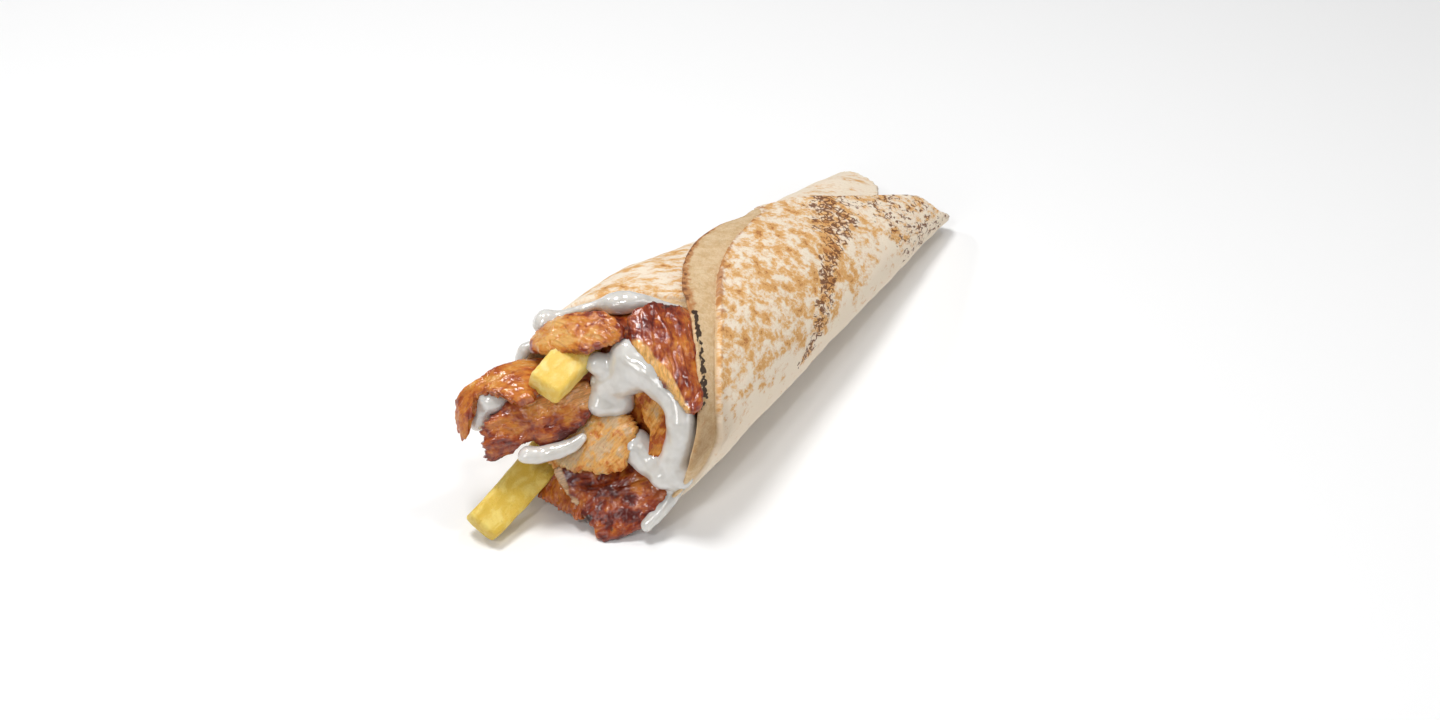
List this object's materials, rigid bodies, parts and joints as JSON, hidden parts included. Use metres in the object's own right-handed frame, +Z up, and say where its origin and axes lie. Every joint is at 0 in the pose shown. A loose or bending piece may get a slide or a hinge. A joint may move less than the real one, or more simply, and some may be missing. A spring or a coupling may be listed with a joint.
{
  "type": "doner kebab sandwich",
  "caption": "Toasted flatbread rolled into a tapering wrap, its open mouth packed with sliced roast meat, potato fries and white sauce; eaten by hand.",
  "frame": {"origin": "middle of the base of the bounding box, on the floor that the roll lies on", "axes": "+X along the roll, from the open mouth to the flattened tail; +Z up"},
  "size_m": [0.2105, 0.0687, 0.0618],
  "materials": {
    "bread": "matt toasted flatbread, pale cream with golden and brown patches",
    "meat": "glossy browned roast meat",
    "pale_meat": "satin pale roast meat",
    "fries": "matt fried potato, bright yellow",
    "sauce": "glossy white yoghurt and garlic sauce"
  },
  "bodies": {
    "root": {"bread": "bread", "meat_filling": "meat", "fry_upper": "fries", "fry_lower": "fries", "slice_top_left": "meat", "slice_top_right": "meat", "slice_far_left": "meat", "slice_front": "meat", "slice_inner_right": "pale_meat", "slice_middle": "pale_meat", "slice_bottom": "meat", "slice_bottom_left": "meat", "sauce_middle": "sauce", "sauce_left": "sauce", "sauce_front": "sauce", "sauce_rim": "sauce"}
  },
  "joints": []
}
